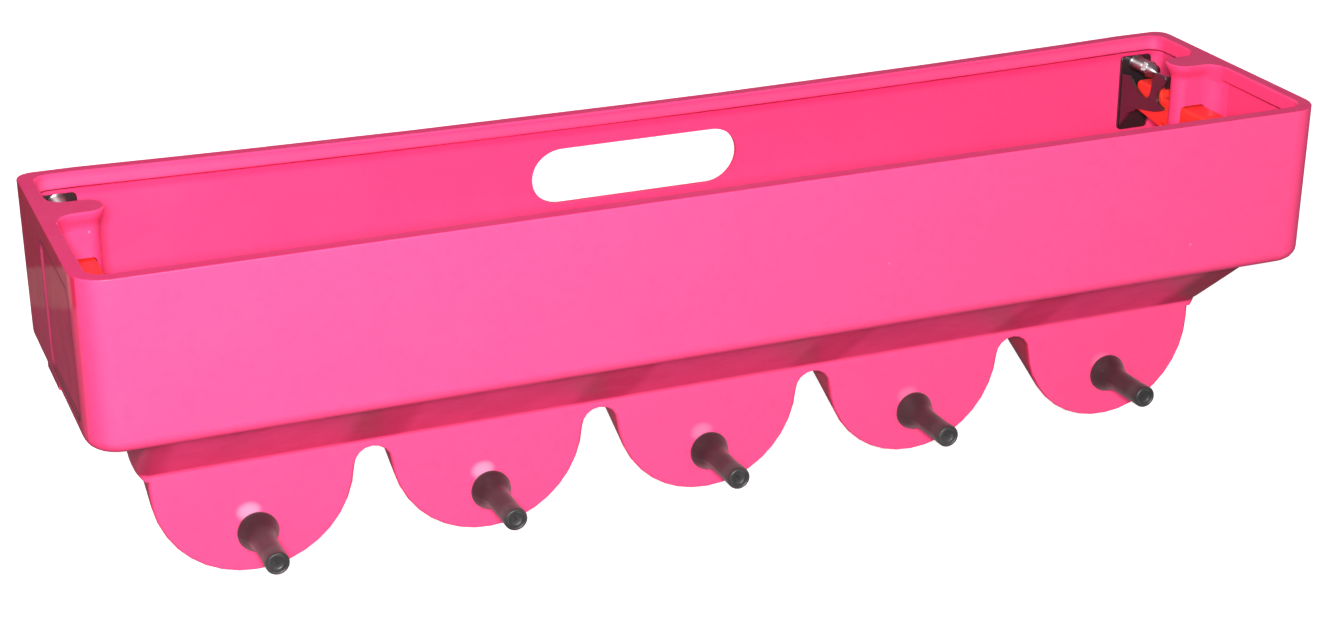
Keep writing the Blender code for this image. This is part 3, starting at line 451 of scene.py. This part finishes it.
def polyethylene():
    """Moulded pink polyethylene: painted light on the front, painted shade on the rims, slope and
    ends, painted reflection on the ends, pale patches, dust and scratches.
    """
    material, tree, shader, place = new_material("moulded_polyethylene")
    at = axes(tree, place)
    facing = axes(tree, tree.nodes.new("ShaderNodeTexCoord").outputs["Normal"])
    ahead = maths(tree, "MULTIPLY", facing["Y"], -1.0)
    sideways = maths(tree, "ABSOLUTE", facing["X"])
    cloud = noise(tree, place, 7.0, 4.0, 0.55)
    scratches = product(tree, streaks(tree, place, (1.0, 1.0, 26.0), 9.0, 0.70, 0.76),
                        ramp(tree, cloud, 0.45, 0.62))

    colour = plain_pink(tree, place, at, ahead, cloud)
    colour = shaded_pink(tree, colour, at, facing, sideways)
    colour = rear_lip(tree, colour, at, ahead)
    colour, ends = shaded_ends(tree, colour, place, at, sideways)
    colour = blend_colour(tree, pale_patches(tree, at), colour, PALE_PATCH)
    specks = dots(tree, place, 26.0, (0.034, 0.014), (0.80, 0.82))
    colour = tint(tree, colour, specks, 0.45, SPECK)
    colour = tint(tree, colour, scratches, 0.22, SCRATCHED)

    rough = ramp(tree, noise(tree, place, 22.0, 5.0, 0.6), 0.3, 0.75, 0.36, 0.50)
    rough = maths(tree, "ADD", rough, maths(tree, "MULTIPLY", ends, 0.14))
    rough = maths(tree, "ADD", rough, maths(tree, "MULTIPLY", scratches, 0.12))
    give(tree, shader, colour, rough)
    shader.inputs["Specular IOR Level"].default_value = 0.28
    let_light_in(shader, 0.06, (0.012, 0.003, 0.004))
    fine = noise(tree, place, 420.0, 2.0)
    waves = noise(tree, place, 18.0, 2.0)
    height = maths(tree, "ADD", maths(tree, "MULTIPLY", fine, 0.12), waves)
    height = maths(tree, "SUBTRACT", height, maths(tree, "MULTIPLY", scratches, 0.08))
    bump(tree, shader, height, 0.35, 0.0008)
    return material


def rubber():
    """Moulded black rubber: maroon on bell and shaft as a painted reflection of the pink moulding,
    grey at the tip.
    """
    material, tree, shader, place = new_material("teat_rubber")
    cloud = noise(tree, place, 60.0, 4.0)
    share = ramp(tree, cloud, 0.35, 0.75)
    # Painted reflection: bell and shaft are tinted maroon as if reflecting the pink moulding; the
    # tip stays plain grey
    painted_pink_reflection = blend_colour(tree, share, rgb(0.018, 0.0068, 0.0088), rgb(0.032, 0.0118, 0.0155))
    plain_grey = blend_colour(tree, share, rgb(0.022, 0.020, 0.0205), rgb(0.046, 0.042, 0.042))
    tip = ramp(tree, axes(tree, place)["Y"], POCKET_FACE - 0.044, POCKET_FACE - 0.054)
    dust = dots(tree, place, 260.0, (0.16, 0.06), (0.72, 0.76))
    colour = tint(tree, blend_colour(tree, tip, painted_pink_reflection, plain_grey), dust, 0.35, rgb(0.16, 0.15, 0.15))
    give(tree, shader, colour, ramp(tree, cloud, 0.3, 0.7, 0.42, 0.62))
    shader.inputs["Sheen Weight"].default_value = 0.10
    shader.inputs["Sheen Roughness"].default_value = 0.5
    bump(tree, shader, noise(tree, place, 900.0, 2.0), 0.25, 0.0002)
    return material


def black_gloss():
    """Gloss black powder coat with fine orange peel and rubbed spots."""
    material, tree, shader, place = new_material("black_powder_coat")
    cloud = noise(tree, place, 30.0, 4.0)
    colour = blend_colour(tree, cloud, rgb(0.012, 0.008, 0.009), rgb(0.026, 0.016, 0.019))
    rubbed = ramp(tree, noise(tree, place, 85.0, 5.0, 0.7), 0.62, 0.72, 0.0, 0.35)
    colour = blend_colour(tree, rubbed, colour, rgb(0.09, 0.08, 0.085))
    give(tree, shader, colour, ramp(tree, cloud, 0.3, 0.7, 0.20, 0.34))
    shader.inputs["Coat Weight"].default_value = 0.5
    shader.inputs["Coat Roughness"].default_value = 0.08
    bump(tree, shader, noise(tree, place, 350.0, 2.0), 0.2, 0.0002)
    return material


def bright_plate():
    """Dark bright plating on turned pieces: the flash runs along their sides in one streak."""
    material, tree, shader, place = new_material("dark_bright_plate")
    cloud = noise(tree, place, 90.0, 4.0)
    colour = blend_colour(tree, cloud, rgb(0.45, 0.43, 0.44), rgb(0.32, 0.30, 0.31))
    give(tree, shader, colour, ramp(tree, cloud, 0.3, 0.7, 0.42, 0.48))
    shader.inputs["Metallic"].default_value = 1.0
    shader.inputs["Anisotropic"].default_value = 0.91
    shader.inputs["Anisotropic Rotation"].default_value = 0.25
    along = wire(tree, "ShaderNodeTangent", direction_type="RADIAL", axis="Y")
    tree.links.new(along.outputs["Tangent"], shader.inputs["Tangent"])
    turned = wire(tree, "ShaderNodeMapping", {"Vector": place, "Scale": (0.2, 12.0, 0.2)})
    bump(tree, shader, noise(tree, turned.outputs[0], 240.0, 2.0), 0.12, 0.0001)
    return material


def orange_plastic():
    """Satin orange-red plastic, paler where it is rubbed."""
    material, tree, shader, place = new_material("orange_red_plastic")
    cloud = noise(tree, place, 40.0, 4.0)
    colour = blend_colour(tree, cloud, rgb(0.80, 0.022, 0.014), rgb(0.90, 0.045, 0.028))
    rubbed = streaks(tree, place, (6.0, 1.0, 6.0), 60.0, 0.62, 0.74)
    colour = tint(tree, colour, rubbed, 0.18, rgb(0.90, 0.16, 0.10))
    give(tree, shader, colour, ramp(tree, cloud, 0.3, 0.7, 0.30, 0.46))
    let_light_in(shader, 0.05, (0.006, 0.001, 0.001))
    bump(tree, shader, noise(tree, place, 600.0, 2.0), 0.2, 0.0002)
    return material


def soften(thing, width, angle):
    """Round the edges that are sharper than an angle."""
    edge = thing.modifiers.new("edge", "BEVEL")
    edge.width = width
    edge.segments = EDGE_STEPS
    edge.limit_method = "ANGLE"
    edge.angle_limit = math.radians(angle)


def dress(name, material, bevel):
    """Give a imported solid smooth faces, rounded edges and a finish; its own points stay."""
    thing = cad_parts[name]
    mesh = thing.data
    for layer in ("custom_normal", "sharp_edge", "sharp_face"):
        if layer in mesh.attributes:
            mesh.attributes.remove(mesh.attributes[layer])
    mesh.materials.clear()
    mesh.materials.append(material)
    weld = thing.modifiers.new("weld", "WELD")
    weld.merge_threshold = SAME_PLACE
    flat = thing.modifiers.new("flat", "DECIMATE")
    flat.decimate_type = "DISSOLVE"
    flat.angle_limit = math.radians(FLAT_ANGLE)
    soften(thing, bevel, SOLID_ANGLE)
    even = thing.modifiers.new("even", "WEIGHTED_NORMAL")
    even.keep_sharp = False
    even.weight = 80
    for polygon in mesh.polygons:
        polygon.use_smooth = True


def soft_curve(points):
    """Points on one smooth curve through the given pairs."""
    ends = [points[0]] + list(points) + [points[-1]]
    result = []
    for k in range(1, len(ends) - 2):
        before, here, there, after = (Vector(point) for point in ends[k - 1:k + 3])
        for step in range(CURVE_STEPS):
            t = step / CURVE_STEPS
            spot = 0.5 * (2 * here + (there - before) * t
                          + (2 * before - 5 * here + 4 * there - after) * t ** 2
                          + (3 * here - before - 3 * there + after) * t ** 3)
            result.append(tuple(spot))
    return result + [tuple(points[-1])]


def new_object(name, mesh):
    """An object for a mesh, in the scene."""
    thing = bpy.data.objects.new(name, mesh)
    bpy.context.scene.collection.objects.link(thing)
    return thing


def mesh_object(name, builder):
    """Turn a bmesh into a smooth-shaded object whose real edges stay sharp."""
    bmesh.ops.recalc_face_normals(builder, faces=builder.faces)
    mesh = bpy.data.meshes.new(name)
    builder.to_mesh(mesh)
    builder.free()
    for polygon in mesh.polygons:
        polygon.use_smooth = True
    mesh.set_sharp_from_angle(angle=math.radians(SMOOTH_ANGLE))
    return new_object(name, mesh)


def turn_round(builder, profile, steps, place, closed):
    """Faces of a profile turned round an axis; returns the rows of points."""
    rows = []
    for k in range(steps):
        angle = 2 * math.pi * k / steps
        rows.append([builder.verts.new(place(angle, a, b)) for a, b in profile])
    count = len(profile)
    for k in range(steps):
        here, there = rows[k], rows[(k + 1) % steps]
        for i in range(count if closed else count - 1):
            j = (i + 1) % count
            builder.faces.new((here[i], here[j], there[j], there[i]))
    return rows


def turned_piece(name, profile, x, z, steps, shape=None):
    """A closed (radius, y) profile turned round an axis along Y; shape may alter each radius."""
    def place(angle, radius, y):
        reach = shape(angle, radius, y) if shape else radius
        return (x + reach * math.sin(angle), y, z + reach * math.cos(angle))

    builder = bmesh.new()
    turn_round(builder, profile, steps, place, True)
    return mesh_object(name, builder)


def stand_for(piece, node, body, material):
    """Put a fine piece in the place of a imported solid."""
    piece.data.materials.append(material)
    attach(piece, body)
    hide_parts(node)


def make_teat(index, material):
    """Soft teat: flange and groove, bell base, shaft with a mould seam, dished tip and outlet."""
    node = f"teat_{index}"
    low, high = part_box(node)
    face, tip, back = POCKET_FACE - CONTACT, low.y, high.y
    wall_in = back - FLANGE
    outside = ([(TEAT_BASE + change, face - out) for change, out in BELL]
               + [(radius, face - out) for radius, out in SHAFT]
               + [(radius, tip + inward) for radius, inward in TIP])
    inside = [(radius, tip + inward) for radius, inward in OUTLET] + [(MILK_WAY, back)]
    flange = ([(radius, back - inward) for radius, inward in FLANGE_BACK]
              + [(radius, wall_in + inward) for radius, inward in FLANGE_FRONT]
              + [(GROOVE, wall_in), (GROOVE, face)])

    def seam(angle, radius, y):
        on_seam = abs(math.sin(angle)) > SEAM_SINE
        return radius + (SEAM if on_seam and tip + SEAM_TO < y < face - SEAM_FROM else 0.0)

    teat = turned_piece(f"{node}_soft", soft_curve(outside) + inside + flange,
                        (low.x + high.x) / 2, low.z + TEAT_BASE, ROUND_STEPS, seam)
    for vertex in teat.data.vertices:
        ahead = max(0.0, face - LIFT_START - vertex.co.y) / (face - LIFT_START - tip)
        vertex.co.z += LIFT * ahead
    stand_for(teat, node, "feeder", material)


def prism(builder, outline, low, high, place):
    """Add a flat piece: an (a, b) outline between two depths, put in space by a function."""
    rings = [[builder.verts.new(place(a, b, depth)) for a, b in outline] for depth in (low, high)]
    for k in range(len(outline)):
        n = (k + 1) % len(outline)
        builder.faces.new((rings[0][k], rings[0][n], rings[1][n], rings[1][k]))
    builder.faces.new(rings[0][::-1])
    builder.faces.new(rings[1])


def cut_away(thing, outline, low, high, place):
    """Cut a prism out of an object."""
    builder = bmesh.new()
    prism(builder, outline, low, high, place)
    tool = mesh_object("tool", builder)
    cut = thing.modifiers.new("cut", "BOOLEAN")
    cut.operation = "DIFFERENCE"
    cut.solver = "EXACT"
    cut.object = tool
    graph = bpy.context.evaluated_depsgraph_get()
    result = bpy.data.meshes.new_from_object(thing.evaluated_get(graph))
    thing.modifiers.clear()
    thing.data = result
    bpy.data.objects.remove(tool, do_unlink=True)


def arc(a, b, radius, start, sweep, steps):
    """Points on an arc round (a, b), from a start angle in degrees."""
    angles = (math.radians(start + sweep * k / steps) for k in range(steps + 1))
    return [(a + radius * math.cos(angle), b + radius * math.sin(angle)) for angle in angles]


def rectangle(left, right, low, high):
    """The four corners of a rectangle."""
    return [(left, low), (right, low), (right, high), (left, high)]


def plate_outline(half, low, high):
    """Outline of the bracket's back plate, with round corners."""
    across, down, up = half - PLATE_CORNER, low + PLATE_CORNER, high - PLATE_CORNER
    outline = []
    for a, b, start in ((across, up, 0), (-across, up, 90), (-across, down, 180),
                        (across, down, 270)):
        outline += arc(a, b, PLATE_CORNER, start, 90, PLATE_CORNER_STEPS)
    return outline


def cheek_outline(plate):
    """(y, z) outline of a cheek: low behind the nut, a round bay, then a leg with a hollow."""
    points = [(plate, CHEEK_TOP)] + soft_curve(BAY) + soft_curve(LEG) + [(plate, CHEEK_BOTTOM)]
    return [(y, RIM - below) for y, below in points]


def make_bracket(side, material):
    """Guide bracket from folded sheet: pierced back plate, two cheeks and a header."""
    node = f"guide_bracket_{side}"
    low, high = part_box(node)
    centre, half, back = (low.x + high.x) / 2, (high.x - low.x) / 2, high.y
    through = (back - CUT_REACH, back + CUT_REACH)
    slot = rectangle(-BLADE_HALF, BLADE_HALF, BLADE_LOW, BLADE_HIGH)
    bore = arc(0.0, STUD_HEIGHT, STUD_BORE, 0, 360, BORE_STEPS)[:-1]

    def upright(a, b, depth):
        return (centre + a, depth, b)

    builder = bmesh.new()
    prism(builder, plate_outline(half, low.z, high.z - PLATE_DROP), back - SHEET, back, upright)
    plate = mesh_object(f"{node}_plate", builder)
    cut_away(plate, slot, *through, upright)
    cut_away(plate, bore, *through, upright)

    builder = bmesh.new()
    builder.from_mesh(plate.data)
    bpy.data.objects.remove(plate, do_unlink=True)
    outline = cheek_outline(back - SHEET + CHEEK_OVERLAP)
    for hand in (-1, 1):
        near, far = sorted((centre + hand * CHEEK_INSIDE, centre + hand * (CHEEK_INSIDE + SHEET)))
        prism(builder, outline, near, far, lambda a, b, depth: (depth, a, b))
    reach = CHEEK_INSIDE + HEADER_OVERLAP
    header = rectangle(-reach, reach, RIM - HEADER_LOW, RIM - HEADER_HIGH)
    prism(builder, header, HEADER_FRONT, HEADER_FRONT + SHEET, upright)
    bracket = mesh_object(f"{node}_fine", builder)
    soften(bracket, STEEL_EDGE, BRACKET_ANGLE)
    stand_for(bracket, node, "feeder", material)


def extent(box):
    """Axis, radius, back and front of a round piece that lies along Y, from its box."""
    low, high = box
    return (low.x + high.x) / 2, (low.z + high.z) / 2, (high.z - low.z) / 2, high.y, low.y


def make_washer(side, material):
    """Plain washer with soft edges."""
    x, z, radius, back, front = extent(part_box(f"washer_{side}"))
    edge, part = WASHER_EDGE, WASHER_EDGE * 0.3
    profile = [(STUD_BORE, back), (radius - edge, back), (radius - part, back - part),
               (radius, back - edge), (radius, front + edge), (radius - part, front + part),
               (radius - edge, front), (STUD_BORE + edge / 2, front),
               (STUD_BORE, front + edge / 2)]
    washer = turned_piece(f"washer_{side}_fine", profile, x, z, ROUND_STEPS)
    stand_for(washer, f"washer_{side}", "feeder", material)


def make_sleeve(side, material):
    """Round spacer with soft turned edges and a shallow waist."""
    x, z, radius, back, front = extent(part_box(f"spacer_sleeve_{side}"))
    outside = ([(radius + change, back - inward) for change, inward in SPACER_END]
               + [(radius - SPACER_WAIST, (front + back) / 2)]
               + [(radius + change, front + inward) for change, inward in SPACER_END[::-1]])
    profile = soft_curve(outside) + [(STUD_BORE, front), (STUD_BORE, back)]
    sleeve = turned_piece(f"spacer_sleeve_{side}_fine", profile, x, z, ROUND_STEPS)
    stand_for(sleeve, f"spacer_sleeve_{side}", "feeder", material)


def make_dome_nut(side, material):
    """Dome nut: chamfered hexagon, turned neck and a full round cap."""
    x, z, flats, back, front = extent(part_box(f"dome_nut_{side}"))
    corner = flats * 2 / math.sqrt(3)
    hex_front = back - NUT_HEX
    cap = flats * CAP_SHARE
    dome_start = hex_front - (hex_front - front) * CAP_STRAIGHT
    profile = [(STUD_BORE, back), (flats - 0.0002, back), (corner, back - NUT_CHAMFER),
               (corner, hex_front + NUT_CHAMFER), (flats, hex_front),
               (cap + 0.0002, hex_front - 0.0001), (cap, hex_front - 0.0004)]
    for k in range(CAP_STEPS + 1):
        angle = math.radians(CAP_LAST * k / CAP_STEPS)
        profile.append((cap * math.cos(angle), dome_start - (dome_start - front) * math.sin(angle)))
    profile += [(0.0001, front + BLIND_END), (STUD_BORE * 0.9, front + BLIND_CONE)]

    def hexagon(angle, radius, y):
        if radius <= cap + 0.00025 or y < hex_front - 0.00005:
            return radius
        from_flat = (angle + math.pi / 6) % (math.pi / 3) - math.pi / 6
        return min(radius, flats / math.cos(from_flat))

    nut = turned_piece(f"dome_nut_{side}_fine", profile, x, z, NUT_STEPS, hexagon)
    stand_for(nut, f"dome_nut_{side}", "feeder", material)


def make_camera():
    """The photograph's camera: its place, direction and focal length, with no shift."""
    ahead = Vector((math.sin(CAMERA_YAW) * math.cos(CAMERA_PITCH),
                    math.cos(CAMERA_YAW) * math.cos(CAMERA_PITCH),
                    -math.sin(CAMERA_PITCH)))
    right = Vector((math.cos(CAMERA_YAW), -math.sin(CAMERA_YAW), 0.0))
    up = right.cross(ahead)
    camera = new_object("camera", bpy.data.cameras.new("camera"))
    turn = Matrix((right, up, -ahead)).transposed().to_4x4()
    camera.matrix_world = Matrix.Translation(CAMERA_PLACE) @ turn
    camera.data.sensor_width = SENSOR
    camera.data.lens = FOCAL_LENGTH / IMAGE_WIDTH * SENSOR
    camera.data.clip_end = 50.0
    bpy.context.scene.camera = camera


def area_light(name, place, aim, size, power):
    """A square soft white light that points at a place."""
    data = bpy.data.lights.new(name, "AREA")
    data.shape = "SQUARE"
    data.size = size
    data.energy = power
    light = new_object(name, data)
    light.location = place
    light.rotation_euler = (Vector(aim) - Vector(place)).to_track_quat("-Z", "Y").to_euler()
    return light


def make_light():
    """Flash, even fill that weakens from below, and a fill for the back."""
    world = bpy.data.worlds.new("studio")
    world.use_nodes = True
    tree = world.node_tree
    sky = tree.nodes["Background"].inputs
    sky["Color"].default_value = rgb(1.0, 1.0, 1.0)
    upward = axes(tree, tree.nodes.new("ShaderNodeTexCoord").outputs["Generated"])["Z"]
    tree.links.new(ramp(tree, upward, -0.25, 0.10, FILL_BELOW, FILL), sky["Strength"])
    bpy.context.scene.world = world
    bpy.context.scene.view_settings.view_transform = "Standard"
    area_light("flash", FLASH_PLACE, FLASH_AIM, FLASH_SIZE, FLASH_POWER)
    rear = area_light("rear_fill", REAR_PLACE, REAR_AIM, REAR_SIZE, REAR_POWER)
    rear.visible_glossy = False


def floor_paint():
    """Pale matt floor paint that glows a little and is clear from its far side."""
    material, tree, shader, place = new_material("pale_floor")
    colour = blend_colour(tree, noise(tree, place, 1.5), rgb(0.86, 0.86, 0.86),
                          rgb(0.90, 0.90, 0.90))
    tree.links.new(colour, shader.inputs["Base Color"])
    shader.inputs["Roughness"].default_value = 0.75
    shader.inputs["Emission Color"].default_value = rgb(1.0, 1.0, 1.0)
    shader.inputs["Emission Strength"].default_value = FLOOR_GLOW
    behind = tree.nodes.new("ShaderNodeNewGeometry").outputs["Backfacing"]
    clear = tree.nodes.new("ShaderNodeBsdfTransparent").outputs[0]
    mixed = wire(tree, "ShaderNodeMixShader", {0: behind, 1: shader.outputs[0], 2: clear})
    tree.links.new(mixed.outputs[0], tree.nodes["Material Output"].inputs["Surface"])
    return material


def make_floor():
    """A wide pale floor that rises all round into a pale wall."""
    low = cad_box[0].z - FLOOR_DROP
    profile = [(FLOOR_INNER, low), (FLOOR_RADIUS, low)]
    for step in range(1, WALL_CURVE_STEPS + 1):
        angle = math.radians(90 * step / WALL_CURVE_STEPS)
        profile.append((FLOOR_RADIUS + WALL_CURVE * math.sin(angle),
                        low + WALL_CURVE * (1 - math.cos(angle))))
    profile.append((FLOOR_RADIUS + WALL_CURVE, low + WALL_TOP))

    def place(angle, radius, z):
        return (radius * math.cos(angle), radius * math.sin(angle), z)

    builder = bmesh.new()
    rows = turn_round(builder, profile, FLOOR_SIDES, place, False)
    for face in builder.faces:
        face.smooth = True
    builder.faces.new([row[0] for row in rows])
    mesh = bpy.data.meshes.new("floor")
    builder.to_mesh(mesh)
    builder.free()
    mesh.materials.append(floor_paint())
    floor = new_object("floor", mesh)
    floor.visible_diffuse = False
    floor.visible_glossy = False
    floor.visible_shadow = False


pink = polyethylene()
steel = black_gloss()
plating = bright_plate()
plastic = orange_plastic()
dark_rubber = rubber()
dress("trough", pink, TROUGH_EDGE)
for index in range(1, 6):
    make_teat(index, dark_rubber)
for side in ("left", "right"):
    dress(f"rail_hook_{side}", steel, STEEL_EDGE)
    make_bracket(side, steel)
    make_washer(side, plating)
    make_sleeve(side, plating)
    make_dome_nut(side, plating)
    dress(f"latch_grip_{side}", plastic, GRIP_EDGE)
    dress(f"latch_blade_{side}", steel, STEEL_EDGE)

make_camera()
make_light()
make_floor()
